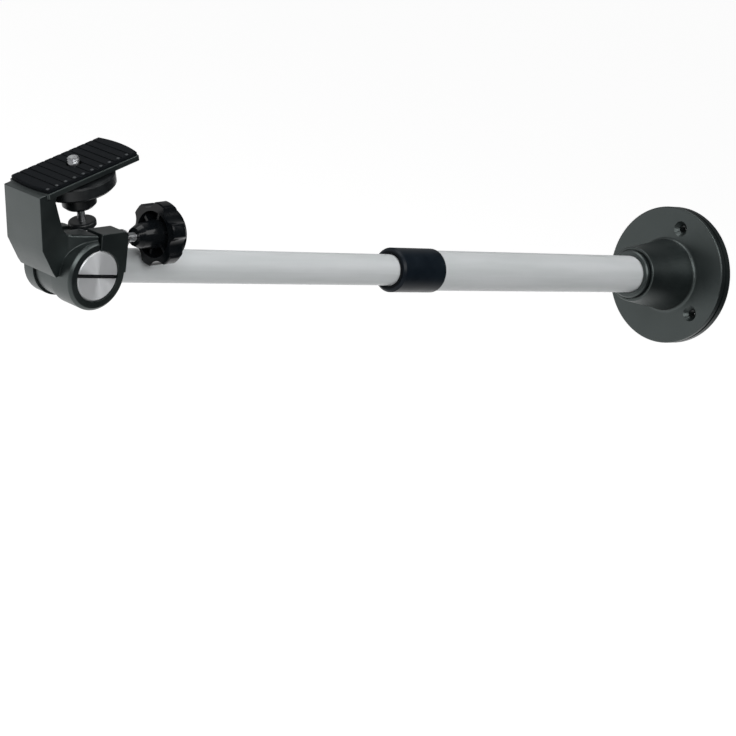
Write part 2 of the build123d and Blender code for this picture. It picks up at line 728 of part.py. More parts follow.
def fixed_half_outline():
    """Clamp half on the web's side: a flat top that sweeps up into the web on a round saddle."""
    centre_u = WEB_LOW_IN_U - SADDLE_SINK + SADDLE_R
    centre_r = WEDGE_TOP + SADDLE_R
    centre_s = (centre_u - centre_r * sin(radians(CLAMP_DIP))) / cos(radians(CLAMP_DIP))
    web_s = centre_s - SADDLE_R * cos(radians(CLAMP_DIP))
    web_r = centre_r - SADDLE_R * sin(radians(CLAMP_DIP))
    with BuildSketch() as outline:
        with BuildLine():
            Line((0, 0), (0, WEDGE_TOP))
            Line((0, WEDGE_TOP), (centre_s, WEDGE_TOP))
            RadiusArc((centre_s, WEDGE_TOP), (web_s, web_r), SADDLE_R)
            Line((web_s, web_r), (web_s - CUT_SPARE, web_r))
            Line((web_s - CUT_SPARE, web_r), (-WEDGE_LEN, LUG_R / 2))
            Line((-WEDGE_LEN, LUG_R / 2), (0, 0))
        make_face()
    return outline.sketch


def slant_distance(point):
    """How far a point lies from the wedge's slanted face, measured along v."""
    from_pivot = point - PIVOT
    slope = (WEDGE_FACE - BODY_HALF) / WEDGE_LEN
    return from_pivot.dot(V_DIR) - WEDGE_FACE - slope * from_pivot.dot(S_DIR)


def make_head_bracket():
    """One casting: platform, web, two lugs, and the split clamp ring with its ear."""
    web_top_w = PLATE_TOP_W - WEB_TOP_DROP
    lip_u = FACET_END_U + FACET_LIP_U
    lip_w = FACET_END_W - FACET_LIP_W
    with BuildPart() as head:
        # Web with its slanted lower facet
        with BuildSketch(side_plane(-BODY_HALF)):
            with BuildLine():
                Polyline(
                    (WEB_TOP_OUT_U, web_top_w),
                    (WEB_FOLD_U, WEB_FOLD_W),
                    (FACET_END_U, FACET_END_W),
                    (lip_u, lip_w),
                    (-LUG_R / 2, lip_w),
                    (-LUG_R / 2, WEB_LOW_IN_W - WEB_FOOT),
                    (WEB_LOW_IN_U, WEB_LOW_IN_W),
                    (WEB_TOP_IN_U, PLATE_BOTTOM_W),
                    (WEB_TOP_IN_U, web_top_w),
                    close=True,
                )
            make_face()
        extrude(amount=2 * BODY_HALF)
        # Platform, with a fillet under it where it meets the web
        with BuildSketch(deck_plane(PLATE_BOTTOM_W)):
            add(plate_outline())
        extrude(amount=PLATE_T)
        corner = head.edges().filter_by(Axis.Y).filter_by(
            lambda e: (e.center() - PIVOT - U_DIR * WEB_TOP_IN_U - W_DIR * PLATE_BOTTOM_W).length < 0.3
        )
        fillet(corner, INNER_CORNER_R)
        # Lugs
        with BuildSketch(side_plane(-BODY_HALF)):
            Circle(LUG_R)
        extrude(amount=2 * BODY_HALF)
        # Fixed half of the clamp, its face slanted from the web out to the slit
        with BuildSketch(clamp_side_plane(GAP_HALF)):
            add(fixed_half_outline())
        extrude(amount=WEDGE_FACE - GAP_HALF)
        with BuildSketch(clamp_top_plane(0)):
            with BuildLine():
                Polyline(
                    (0, -WEDGE_FACE),
                    (-WEDGE_LEN, -BODY_HALF),
                    (-2 * WEDGE_LEN, -BODY_HALF),
                    (-2 * WEDGE_LEN, -WEDGE_FACE - CUT_SPARE),
                    (0, -WEDGE_FACE - CUT_SPARE),
                    close=True,
                )
            make_face()
        extrude(amount=WEDGE_TOP + 2 * SADDLE_R, mode=Mode.SUBTRACT)
        wedge_edges = head.edges().filter_by(
            lambda e: abs(slant_distance(e.center())) < 0.01
            and (e.center() - PIVOT).dot(R_DIR) > WEDGE_TOP - 0.01
        )
        fillet(wedge_edges, WEDGE_ROUND)
        # Clamp ring's boss and ear
        with BuildSketch(side_plane(0)):
            Circle(LUG_R)
        extrude(amount=BOSS_FACE - BOSS_CHAMFER)
        with BuildSketch(side_plane(BOSS_FACE - BOSS_CHAMFER)):
            Circle(LUG_R)
        extrude(amount=BOSS_CHAMFER, taper=45)
        with BuildSketch(clamp_side_plane(EAR_BACK_V)):
            with Locations((EAR_LEN / 2, EAR_TOP / 2)):
                Rectangle(EAR_LEN, EAR_TOP)
        extrude(amount=BOSS_FACE - EAR_BACK_V)
        ear_corner = head.edges().filter_by(Axis.Y).filter_by(
            lambda e: abs((e.center() - PIVOT).dot(S_DIR) - EAR_LEN) < 0.01
            and abs((e.center() - PIVOT).dot(R_DIR) - EAR_TOP) < 0.01
        )
        fillet(ear_corner, EAR_ROUND)
        # Gap for the knuckle, open on the side of the arm
        with BuildSketch(side_plane(-GAP_HALF)):
            Circle(LUG_R + GAP)
        extrude(amount=2 * GAP_HALF, mode=Mode.SUBTRACT)
        # Bores for the drum and the shaft
        with BuildSketch(side_plane(GAP_HALF)):
            Circle(DRUM_BORE_R)
        extrude(amount=BOSS_FACE - GAP_HALF, mode=Mode.SUBTRACT)
        with BuildSketch(side_plane(-BODY_HALF)):
            Circle(SHAFT_BORE_R)
        extrude(amount=BODY_HALF - GAP_HALF, mode=Mode.SUBTRACT)
        # Slit, from the top of the clamp into the drum's bore
        with BuildSketch(clamp_side_plane(GAP_HALF)):
            with Locations((0, (DRUM_R + EAR_TOP) / 2)):
                Rectangle(SLIT_W, EAR_TOP - DRUM_R + 2 * SLIT_W)
        extrude(amount=BOSS_FACE - GAP_HALF, mode=Mode.SUBTRACT)
        # Stud hole: clear in the ear, tapped in the fixed half
        with BuildSketch(stud_plane(0)):
            Circle(STUD_R + STUD_CLEAR)
        extrude(amount=EAR_LEN + CUT_SPARE, mode=Mode.SUBTRACT)
        with BuildSketch(stud_plane(0)):
            Circle(STUD_R + FIT)
        extrude(amount=-STUD_REACH - STUD_HOLE_SPARE, mode=Mode.SUBTRACT)
        # Camera screw's hole
        with BuildSketch(deck_plane(PLATE_BOTTOM_W)):
            with Locations((SCREW_U, 0)):
                Circle(SCREW_HOLE_R)
        extrude(amount=PLATE_T, mode=Mode.SUBTRACT)
    return head.part


def make_camera_pad():
    """Rubber pad on the platform, grooved across."""
    with BuildPart() as pad:
        with BuildSketch(deck_plane(PLATE_TOP_W)):
            offset(plate_outline(), -PAD_INSET, kind=Kind.INTERSECTION)
            with Locations((SCREW_U, 0)):
                Circle(PAD_HOLE_R, mode=Mode.SUBTRACT)
        extrude(amount=PAD_T)
        top = pad.faces().sort_by(lambda f: (f.center() - PIVOT).dot(W_DIR))[-1]
        chamfer(top.outer_wire().edges(), PAD_EDGE)
        pitch = (PLATE_FRONT_U - PLATE_BACK_U) / (PAD_GROOVES + 1)
        middle = (PLATE_FRONT_U + PLATE_BACK_U) / 2
        with BuildSketch(deck_plane(PAD_TOP_W)):
            with Locations((middle, 0)):
                with GridLocations(pitch, 1, PAD_GROOVES, 1):
                    Rectangle(PAD_GROOVE_W, 2 * PLATE_HALF + CUT_SPARE)
        extrude(amount=-PAD_GROOVE_DEPTH, mode=Mode.SUBTRACT)
    return pad.part


def make_clamp_washer():
    """Washer between the ear and the stud's flange."""
    with BuildPart() as washer:
        with BuildSketch(stud_plane(EAR_LEN + WASHER_GAP)):
            Circle(CLAMP_WASHER_R)
            Circle(STUD_R + STUD_CLEAR, mode=Mode.SUBTRACT)
        extrude(amount=CLAMP_WASHER_T)
    return washer.part


def make_clamp_stud():
    """Steel stud: threaded at its tip, flanged against the washer, fixed in the knob."""
    flange_s = EAR_LEN + 2 * WASHER_GAP + CLAMP_WASHER_T
    with BuildPart() as stud:
        with BuildSketch(stud_plane(-STUD_REACH)):
            Circle(STUD_R)
        extrude(amount=STUD_REACH + KNOB_START + STUD_IN_KNOB)
        chamfer(stud.faces().sort_by(Axis.X)[0].edges(), STUD_TIP_CHAMFER)
        with BuildSketch(stud_plane(flange_s)):
            Circle(STUD_FLANGE_R)
        extrude(amount=STUD_FLANGE_T)
    return stud.part


def lobed_outline(reach):
    """Knob outline with rounded lobes, cut between them down to the flute floor."""
    with BuildSketch() as outline:
        Circle(reach)
        flute_at = KNOB_LOBE_ANGLE + 180 / KNOB_LOBES
        with PolarLocations(KNOB_FLUTE_FLOOR + KNOB_FLUTE_R, KNOB_LOBES, start_angle=-flute_at):
            Circle(KNOB_FLUTE_R, mode=Mode.SUBTRACT)
        fillet(outline.vertices(), KNOB_LOBE_ROUND)
    return outline.sketch


def make_clamp_knob():
    """Lobed cup on a long hub: ribs inside the cup, and a rounded shoulder outside."""
    rim_end = KNOB_BACK_S + KNOB_RIM_T
    cup_floor = KNOB_BACK_S + KNOB_CUP_DEPTH
    with BuildPart() as knob:
        with BuildSketch(stud_axial_plane()):
            with BuildLine():
                Line((KNOB_BACK_S, 0), (KNOB_BACK_S, KNOB_R - KNOB_EDGE_ROUND))
                Line((KNOB_BACK_S, KNOB_R - KNOB_EDGE_ROUND), (KNOB_BACK_S + KNOB_EDGE_ROUND, KNOB_R))
                Line((KNOB_BACK_S + KNOB_EDGE_ROUND, KNOB_R), (rim_end, KNOB_R))
                Spline((rim_end, KNOB_R), (KNOB_FACE_S, KNOB_SHOULDER_R), tangents=((1, 0), (0, -1)))
                Line((KNOB_FACE_S, KNOB_SHOULDER_R), (KNOB_FACE_S, 0))
                Line((KNOB_FACE_S, 0), (KNOB_BACK_S, 0))
            make_face()
        revolve(axis=Axis(stud_plane(0).origin, S_DIR))
        with BuildSketch(stud_plane(KNOB_BACK_S)):
            add(lobed_outline(KNOB_R))
        extrude(amount=KNOB_RIM_T + KNOB_SHOULDER_T, mode=Mode.INTERSECT)
        # The cup, then its ribs and the hub
        with BuildSketch(stud_plane(KNOB_BACK_S)):
            Circle(KNOB_CUP_R)
        extrude(amount=KNOB_CUP_DEPTH, mode=Mode.SUBTRACT)
        with BuildSketch(stud_plane(KNOB_BACK_S + KNOB_RIB_SINK)):
            with PolarLocations(KNOB_CUP_R / 2, KNOB_LOBES, start_angle=-KNOB_LOBE_ANGLE):
                Rectangle(KNOB_CUP_R + KNOB_RIB_T, KNOB_RIB_T)
        extrude(amount=KNOB_CUP_DEPTH - KNOB_RIB_SINK)
        with BuildSketch(stud_axial_plane()):
            with BuildLine():
                Polyline(
                    (KNOB_START, 0),
                    (KNOB_START, KNOB_TIP_R),
                    (KNOB_START + KNOB_NECK_LEN, KNOB_NECK_R),
                    (cup_floor, KNOB_HUB_R),
                    (cup_floor, 0),
                    close=True,
                )
            make_face()
        revolve(axis=Axis(stud_plane(0).origin, S_DIR))
        # Seat for the cap's spigot, and the bore for the stud
        with BuildSketch(stud_plane(KNOB_FACE_S)):
            Circle(KNOB_SPIGOT_R)
        extrude(amount=-KNOB_SPIGOT_LEN, mode=Mode.SUBTRACT)
        with BuildSketch(stud_plane(KNOB_START)):
            Circle(STUD_R)
        extrude(amount=STUD_IN_KNOB, mode=Mode.SUBTRACT)
    return knob.part


def make_knob_cap():
    """Smooth round cap on the knob's outer face, held by its spigot."""
    with BuildPart() as cap:
        with BuildSketch(stud_plane(KNOB_FACE_S)):
            Circle(KNOB_CAP_R)
        extrude(amount=KNOB_CAP_T)
        fillet(cap.faces().sort_by(Axis.X)[-1].edges(), KNOB_CAP_ROUND)
        with BuildSketch(stud_plane(KNOB_FACE_S - KNOB_SPIGOT_LEN)):
            Circle(KNOB_SPIGOT_R)
        extrude(amount=KNOB_SPIGOT_LEN)
    return cap.part


def make_camera_screw():
    """Camera screw: full thread at the top, a thinner stem below."""
    with BuildPart() as screw:
        with BuildSketch(screw_plane()):
            with BuildLine():
                Polyline(
                    (0, THUMB_BOTTOM_W),
                    (STEM_R, THUMB_BOTTOM_W),
                    (STEM_R, STEM_TOP_W),
                    (SCREW_R, STEM_TOP_W + SCREW_R - STEM_R),
                    (SCREW_R, WHEEL_TOP_W),
                    (RELIEF_R, WHEEL_TOP_W),
                    (RELIEF_R, PAD_TOP_W + RELIEF_EDGE),
                    (SCREW_R, PAD_TOP_W + RELIEF_EDGE),
                    (SCREW_R, PAD_TOP_W + SCREW_PROUD - SCREW_TIP_CHAMFER),
                    (SCREW_R - SCREW_TIP_CHAMFER, PAD_TOP_W + SCREW_PROUD),
                    (0, PAD_TOP_W + SCREW_PROUD),
                    close=True,
                )
            make_face()
        revolve(axis=Axis(PIVOT + U_DIR * SCREW_U, W_DIR))
    return screw.part


def make_screw_knob():
    """Thumb knob on the bottom of the camera screw."""
    with BuildPart() as knob:
        with BuildSketch(screw_plane()):
            with BuildLine():
                Line((STEM_R, THUMB_BOTTOM_W), (THUMB_R - THUMB_CHAMFER, THUMB_BOTTOM_W))
                Line(
                    (THUMB_R - THUMB_CHAMFER, THUMB_BOTTOM_W),
                    (THUMB_R, THUMB_BOTTOM_W + THUMB_CHAMFER),
                )
                Line((THUMB_R, THUMB_BOTTOM_W + THUMB_CHAMFER), (THUMB_R, THUMB_TOP_W - THUMB_ROUND))
                Spline(
                    (THUMB_R, THUMB_TOP_W - THUMB_ROUND),
                    (THUMB_R - THUMB_ROUND, THUMB_TOP_W),
                    tangents=((0, 1), (-1, 0)),
                )
                Line((THUMB_R - THUMB_ROUND, THUMB_TOP_W), (STEM_R, THUMB_TOP_W))
                Line((STEM_R, THUMB_TOP_W), (STEM_R, THUMB_BOTTOM_W))
            make_face()
        revolve(axis=Axis(PIVOT + U_DIR * SCREW_U, W_DIR))
    return knob.part


def make_lock_wheel():
    """Large wheel that runs on the camera screw and jams under the platform."""
    with BuildPart() as wheel:
        with BuildSketch(screw_plane()):
            with BuildLine():
                Polyline(
                    (0, WHEEL_TOP_W),
                    (WHEEL_R - WHEEL_TOP_CHAMFER, WHEEL_TOP_W),
                    (WHEEL_R, WHEEL_TOP_W - WHEEL_TOP_CHAMFER),
                    (WHEEL_R, WHEEL_BOTTOM_W + WHEEL_BEVEL),
                    (WHEEL_R - WHEEL_BEVEL, WHEEL_BOTTOM_W),
                    (WHEEL_BOSS_R, WHEEL_BOTTOM_W),
                    (WHEEL_BOSS_R, WHEEL_BOSS_BOTTOM_W + WHEEL_BOSS_CHAMFER),
                    (WHEEL_BOSS_R - WHEEL_BOSS_CHAMFER, WHEEL_BOSS_BOTTOM_W),
                    (0, WHEEL_BOSS_BOTTOM_W),
                    close=True,
                )
            make_face()
        revolve(axis=Axis(PIVOT + U_DIR * SCREW_U, W_DIR))
        # Seat for the threaded insert, and the screw's way through below it
        with BuildSketch(deck_plane(WHEEL_TOP_W)):
            with Locations((SCREW_U, 0)):
                Circle(INSERT_R)
        extrude(amount=-INSERT_LEN, mode=Mode.SUBTRACT)
        with BuildSketch(deck_plane(WHEEL_TOP_W)):
            with Locations((SCREW_U, 0)):
                Circle(SCREW_HOLE_R)
        extrude(amount=WHEEL_BOSS_BOTTOM_W - WHEEL_TOP_W, mode=Mode.SUBTRACT)
    return wheel.part


def make_wheel_insert():
    """Brass threaded insert in the lock wheel."""
    with BuildPart() as insert:
        with BuildSketch(deck_plane(WHEEL_TOP_W)):
            with Locations((SCREW_U, 0)):
                Circle(INSERT_R)
                Circle(SCREW_R + FIT, mode=Mode.SUBTRACT)
        extrude(amount=-INSERT_LEN)
    return insert.part


def make_wheel_washer():
    """Washer between the wheel and the platform."""
    with BuildPart() as washer:
        with BuildSketch(deck_plane(PLATE_BOTTOM_W - WASHER_GAP)):
            with Locations((SCREW_U, 0)):
                Circle(WHEEL_WASHER_R)
                Circle(SCREW_R + WHEEL_WASHER_CLEAR, mode=Mode.SUBTRACT)
        extrude(amount=-WHEEL_WASHER_T)
    return washer.part


os.makedirs("parts", exist_ok=True)
save(make_wall_flange(), "wall_flange")
save(make_hub_ring(), "hub_ring")
save(make_hub_grub_screws(), "hub_grub_screws")
save(make_outer_tube(), "outer_tube")
save(make_collet(), "collet")
save(make_lock_collar(), "lock_collar")
save(make_wiper_ring(), "wiper_ring")
save(make_guide_bush(), "guide_bush")
save(make_inner_tube(), "inner_tube")
save(make_bush_pin(), "bush_pin")
save(make_knuckle(), "knuckle")
save(make_knuckle_pin(), "knuckle_pin")
save(make_knuckle_washers(), "knuckle_washers")
save(make_pivot_shaft(), "pivot_shaft")
save(make_shaft_key_screw(), "shaft_key_screw")
save(make_shaft_washer(), "shaft_washer")
save(make_shaft_screw(), "shaft_screw")
save(make_head_bracket(), "head_bracket")
save(make_camera_pad(), "camera_pad")
save(make_clamp_washer(), "clamp_washer")
save(make_clamp_stud(), "clamp_stud")
save(make_clamp_knob(), "clamp_knob")
save(make_knob_cap(), "knob_cap")
save(make_camera_screw(), "camera_screw")
save(make_screw_knob(), "screw_knob")
save(make_lock_wheel(), "lock_wheel")
save(make_wheel_insert(), "wheel_insert")
save(make_wheel_washer(), "wheel_washer")
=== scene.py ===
# %% [markdown]
# # A telescopic camera bracket for a wall
# The bracket is a set of hard parts: castings, tubes, turned metal and moulded
# plastic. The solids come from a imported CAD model, in metres, with the wall at
# X = 0, the arm along -X and +Z up. Here each gets a finish, and what the
# solids leave out is modelled: threads, softened edges and the pad's pips.

# %% Load the solids
import json
import math

import bpy
from mathutils import Matrix, Vector


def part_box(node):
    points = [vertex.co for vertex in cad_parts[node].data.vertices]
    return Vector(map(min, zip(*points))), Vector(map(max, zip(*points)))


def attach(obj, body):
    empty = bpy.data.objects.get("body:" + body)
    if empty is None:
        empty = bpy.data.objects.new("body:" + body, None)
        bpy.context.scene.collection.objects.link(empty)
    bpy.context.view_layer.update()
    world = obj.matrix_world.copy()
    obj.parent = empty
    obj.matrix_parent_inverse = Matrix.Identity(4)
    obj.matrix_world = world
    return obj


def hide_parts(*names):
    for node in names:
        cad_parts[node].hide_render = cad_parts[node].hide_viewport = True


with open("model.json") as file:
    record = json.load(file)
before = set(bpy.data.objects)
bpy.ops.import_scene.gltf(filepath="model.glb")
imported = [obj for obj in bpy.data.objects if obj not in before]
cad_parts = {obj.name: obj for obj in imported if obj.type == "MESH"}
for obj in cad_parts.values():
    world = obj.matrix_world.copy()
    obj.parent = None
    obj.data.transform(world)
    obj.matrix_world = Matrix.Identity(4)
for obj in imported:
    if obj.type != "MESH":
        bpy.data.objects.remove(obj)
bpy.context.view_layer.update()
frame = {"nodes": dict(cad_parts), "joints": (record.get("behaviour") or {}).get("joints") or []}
nodes = frame["nodes"]

# %% [markdown]
# ## Places to work from
# The head is tilted on its pivot, so a piece on it is easiest to model upright
# at the world's origin and then set down on the head. The joints hold the axes
# that are needed: where the line is, and which way it points.

# %% Axes of the moving parts
MM = 0.001
joints = {joint["name"]: joint for joint in frame["joints"]}


def axis_frame(joint_name, reference=(0.0, 1.0, 0.0)):
    """Matrix that sets an upright piece on a joint's line, its Z along the line."""
    joint = joints[joint_name]
    z_axis = Vector(joint["axis"]).normalized()
    y_axis = Vector(reference)
    x_axis = y_axis.cross(z_axis).normalized()
    y_axis = z_axis.cross(x_axis)
    turn = Matrix((x_axis, y_axis, z_axis)).transposed().to_4x4()
    return Matrix.Translation(Vector(joint["pos_m"])) @ turn


def along(matrix, point):
    """Height of a point on the line of axis_frame."""
    return (matrix.inverted() @ Vector(point)).z


screw_line = axis_frame("screw_turn")
clamp_line = axis_frame("clamp_turn")
pivot_point = Vector(joints["head_tilt"]["pos_m"])
print("pivot in mm:", [round(value * 1000, 1) for value in pivot_point])

# %% [markdown]
# ## Helpers for finishes
# Every finish is a Principled shader with a little noise on it. Noise reads
# Object coordinates, in metres, so that its size is true and it stays with the
# piece when a joint moves.

# %% A finish and its noise


def start_finish(name, colour, roughness, metallic=0.0):
    """New material: its Principled shader has the plain values, and one coordinate node."""
    material = bpy.data.materials.new(name)
    material.use_nodes = True
    shader = material.node_tree.nodes["Principled BSDF"]
    shader.inputs["Base Color"].default_value = (*colour, 1.0)
    shader.inputs["Roughness"].default_value = roughness
    shader.inputs["Metallic"].default_value = metallic
    place = material.node_tree.nodes.new("ShaderNodeTexCoord")
    place.name = "Place"
    return material


def finish_shader(material):
    """The Principled shader of a finish."""
    return material.node_tree.nodes["Principled BSDF"]


def noise_on(material, grain_mm, detail=3.0, stretch=(1.0, 1.0, 1.0)):
    """Noise whose grains are about grain_mm long, longer where stretch is below 1."""
    tree = material.node_tree
    mapping = tree.nodes.new("ShaderNodeMapping")
    mapping.inputs["Scale"].default_value = stretch
    noise = tree.nodes.new("ShaderNodeTexNoise")
    noise.inputs["Scale"].default_value = 1000.0 / grain_mm
    noise.inputs["Detail"].default_value = detail
    tree.links.new(tree.nodes["Place"].outputs["Object"], mapping.inputs["Vector"])
    tree.links.new(mapping.outputs["Vector"], noise.inputs["Vector"])
    return noise


def mix_colours(material, noise, colours, stops=(0.35, 0.65)):
    """The base colour runs between two colours where the noise does."""
    tree = material.node_tree
    ramp = tree.nodes.new("ShaderNodeValToRGB")
    for element, colour, stop in zip(ramp.color_ramp.elements, colours, stops):
        element.color = (*colour, 1.0)
        element.position = stop
    tree.links.new(noise.outputs["Fac"], ramp.inputs["Fac"])
    shader = tree.nodes["Principled BSDF"]
    tree.links.new(ramp.outputs["Color"], shader.inputs["Base Color"])
    return ramp


def vary_roughness(material, noise, low, high):
    """Roughness runs from low to high where the noise does."""
    tree = material.node_tree
    spread = tree.nodes.new("ShaderNodeMapRange")
    spread.inputs["From Min"].default_value = 0.3
    spread.inputs["From Max"].default_value = 0.7
    spread.inputs["To Min"].default_value = low
    spread.inputs["To Max"].default_value = high
    tree.links.new(noise.outputs["Fac"], spread.inputs["Value"])
    shader = tree.nodes["Principled BSDF"]
    tree.links.new(spread.outputs["Result"], shader.inputs["Roughness"])


def raise_bumps(material, height_socket, depth_mm, strength=1.0):
    """Bump of a real depth, stacked on any bump that is there already."""
    tree = material.node_tree
    shader = tree.nodes["Principled BSDF"]
    bump = tree.nodes.new("ShaderNodeBump")
    bump.inputs["Distance"].default_value = depth_mm * MM
    bump.inputs["Strength"].default_value = strength
    tree.links.new(height_socket, bump.inputs["Height"])
    if shader.inputs["Normal"].links:
        tree.links.new(shader.inputs["Normal"].links[0].from_socket, bump.inputs["Normal"])
    tree.links.new(bump.outputs["Normal"], shader.inputs["Normal"])
    return bump


def turned_rings(material, centre, pitch_mm, axis):
    """Concentric rings about an axis through a point, as a lathe's tool leaves them on a face."""
    tree = material.node_tree
    mapping = tree.nodes.new("ShaderNodeMapping")
    mapping.inputs["Location"].default_value = -Vector(centre)
    rings = tree.nodes.new("ShaderNodeTexWave")
    rings.wave_type = "RINGS"
    rings.rings_direction = axis
    rings.inputs["Scale"].default_value = 1000.0 / (pitch_mm * 20.0)
    rings.inputs["Distortion"].default_value = 0.4
    tree.links.new(tree.nodes["Place"].outputs["Object"], mapping.inputs["Vector"])
    tree.links.new(mapping.outputs["Vector"], rings.inputs["Vector"])
    return rings


# %% [markdown]
# ## Satin coat on the castings
# Flange, knuckle and head are castings with a near black powder coat. Powder
# melts into a skin with a very fine orange peel, and handling leaves it a
# little shinier in places. Two noises do that: a fine one for the skin and a
# broad one for the colour and the shine.

# %% Powder coat
coat = start_finish("casting_coat", (0.005, 0.007, 0.007), 0.4)
broad = noise_on(coat, 18.0, 4.0)
mix_colours(coat, broad, ((0.0035, 0.0055, 0.006), (0.0065, 0.009, 0.009)))
vary_roughness(coat, broad, 0.36, 0.46)
finish_shader(coat).inputs["Specular IOR Level"].default_value = 0.85
finish_shader(coat).inputs["Specular Tint"].default_value = (0.88, 1.0, 0.98, 1.0)
raise_bumps(coat, noise_on(coat, 0.9, 2.0).outputs["Fac"], 0.05, 0.5)

# %% [markdown]
# ## Paint on the tubes
# Both tubes are painted light grey, in a smooth satin. Drawn tube is never
# quite even under its paint, so the noise is stretched along the arm.

# %% Tube paint
paint = start_finish("tube_paint", (0.54, 0.56, 0.57), 0.35)
streaks = noise_on(paint, 6.0, 3.0, stretch=(0.08, 1.0, 1.0))
mix_colours(paint, streaks, ((0.52, 0.545, 0.55), (0.57, 0.59, 0.60)))
vary_roughness(paint, streaks, 0.30, 0.40)
raise_bumps(paint, noise_on(paint, 1.4, 1.0).outputs["Fac"], 0.02, 0.4)

# %% [markdown]
# ## Lock collar
# The collar is turned and then dyed black. Its skin keeps fine tool marks that
# run round it, so bands along X are pressed in as a bump.

# %% Black collar
collar_black = start_finish("collar_black", (0.006, 0.009, 0.013), 0.34, 0.0)
finish_shader(collar_black).inputs["Specular IOR Level"].default_value = 0.3
finish_shader(collar_black).inputs["IOR"].default_value = 1.3
collar_noise = noise_on(collar_black, 9.0, 3.0)
mix_colours(collar_black, collar_noise, ((0.005, 0.008, 0.012), (0.008, 0.012, 0.017)))
vary_roughness(collar_black, collar_noise, 0.30, 0.38)
tool_marks = noise_on(collar_black, 0.5, 1.0, stretch=(1.0, 0.02, 0.02))
raise_bumps(collar_black, tool_marks.outputs["Fac"], 0.01, 0.5)

# %% [markdown]
# ## Turned aluminium
# The pivot's end face was cut on a lathe. Its grooves are too fine to see, but
# they spread each light into bright and dark sectors. A shader does that with
# anisotropy, whose tangent here points out from the pivot.

# %% Turned face
TURNED_COLOUR = (0.72, 0.735, 0.75)
turned = start_finish("turned_aluminium", TURNED_COLOUR, 0.5, 0.72)
turned_tree = turned.node_tree
turned_place = turned_tree.nodes["Place"].outputs["Object"]
finish_shader(turned).inputs["Anisotropic"].default_value = 0.8
outwards = turned_tree.nodes.new("ShaderNodeVectorMath")
outwards.operation = "SUBTRACT"
outwards.inputs[1].default_value = (pivot_point.x, -1.0, pivot_point.z)
flatten = turned_tree.nodes.new("ShaderNodeVectorMath")
flatten.operation = "MULTIPLY"
flatten.inputs[1].default_value = (1.0, 0.0, 1.0)
turned_tree.links.new(turned_place, outwards.inputs[0])
turned_tree.links.new(outwards.outputs["Vector"], flatten.inputs[0])
turned_tree.links.new(flatten.outputs["Vector"], finish_shader(turned).inputs["Tangent"])
face_rings = turned_rings(turned, pivot_point, 0.5, "Y")
raise_bumps(turned, face_rings.outputs["Fac"], 0.01, 0.3)

# %% [markdown]
# ## Slot in the turned face
# The slot across the face is cut deep and lies in shade, which is painted into
# the metal's colour: painted shade. Dark paint on its own faces would need them
# picked by hand. Its walls are within 1 mm of the pivot's height and behind the
# face, so comparisons on the coordinates find them, and a mix paints the metal
# dark there.

# %% Masks
SLOT_HALF = 1.02 * MM
shaft_low, shaft_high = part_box("pivot_shaft")
SLOT_FRONT = shaft_low[1] + 0.25 * MM
SLOT_BACK = shaft_low[1] + 3.2 * MM


def compare(tree, socket, kind, limit):
    """One where a value is above or below a limit, else zero."""
    test = tree.nodes.new("ShaderNodeMath")
    test.operation = kind
    test.inputs[1].default_value = limit
    tree.links.new(socket, test.inputs[0])
    return test.outputs["Value"]


def all_of(tree, masks):
    """Product of masks: one only where every mask is one."""
    product = masks[0]
    for mask in masks[1:]:
        times = tree.nodes.new("ShaderNodeMath")
        times.operation = "MULTIPLY"
        tree.links.new(product, times.inputs[0])
        tree.links.new(mask, times.inputs[1])
        product = times.outputs["Value"]
    return product


# %% Painted shade in the slot
SLOT_PAINTED_SHADE = (0.07, 0.075, 0.075, 1.0)
apart = turned_tree.nodes.new("ShaderNodeSeparateXYZ")
turned_tree.links.new(turned_place, apart.inputs["Vector"])
in_slot = all_of(turned_tree, [
    compare(turned_tree, apart.outputs["Z"], "LESS_THAN", pivot_point.z + SLOT_HALF),
    compare(turned_tree, apart.outputs["Z"], "GREATER_THAN", pivot_point.z - SLOT_HALF),
    compare(turned_tree, apart.outputs["Y"], "GREATER_THAN", SLOT_FRONT),
    compare(turned_tree, apart.outputs["Y"], "LESS_THAN", SLOT_BACK),
])
# Painted shade: the slot's walls are mixed to a dark colour.
shade = turned_tree.nodes.new("ShaderNodeMix")
shade.data_type = "RGBA"
shade.inputs["A"].default_value = (*TURNED_COLOUR, 1.0)
shade.inputs["B"].default_value = SLOT_PAINTED_SHADE
turned_tree.links.new(in_slot, shade.inputs["Factor"])
turned_tree.links.new(shade.outputs["Result"], finish_shader(turned).inputs["Base Color"])
print("slot height in mm:", round(2 * SLOT_HALF / MM, 2))

# %% [markdown]
# ## Small hardware
# Screws, washers and studs are zinc plated steel: bright, a little blue, with
# a fine cloudy grain.

# %% Zinc plate
zinc = start_finish("zinc_plate", (0.62, 0.63, 0.64), 0.30, 1.0)
zinc_noise = noise_on(zinc, 1.5, 4.0)
mix_colours(zinc, zinc_noise, ((0.54, 0.55, 0.57), (0.68, 0.69, 0.70)))
vary_roughness(zinc, zinc_noise, 0.24, 0.40)
raise_bumps(zinc, noise_on(zinc, 0.35, 1.0).outputs["Fac"], 0.01, 0.5)

# %% [markdown]
# ## Glossy and satin plastic
# The clamp knob is moulded in a glossy black plastic, and shows sharp streaks
# of light along its edges. The lock wheel and the screw's small knob are satin.
# They differ in roughness and in the grain that the mould leaves.

# %% Plastics
gloss = start_finish("gloss_plastic", (0.004, 0.005, 0.006), 0.16)
finish_shader(gloss).inputs["Specular IOR Level"].default_value = 0.18
gloss_noise = noise_on(gloss, 7.0, 3.0)
mix_colours(gloss, gloss_noise, ((0.003, 0.004, 0.005), (0.006, 0.007, 0.008)))
vary_roughness(gloss, gloss_noise, 0.10, 0.18)
raise_bumps(gloss, noise_on(gloss, 3.0, 1.0).outputs["Fac"], 0.02, 0.3)

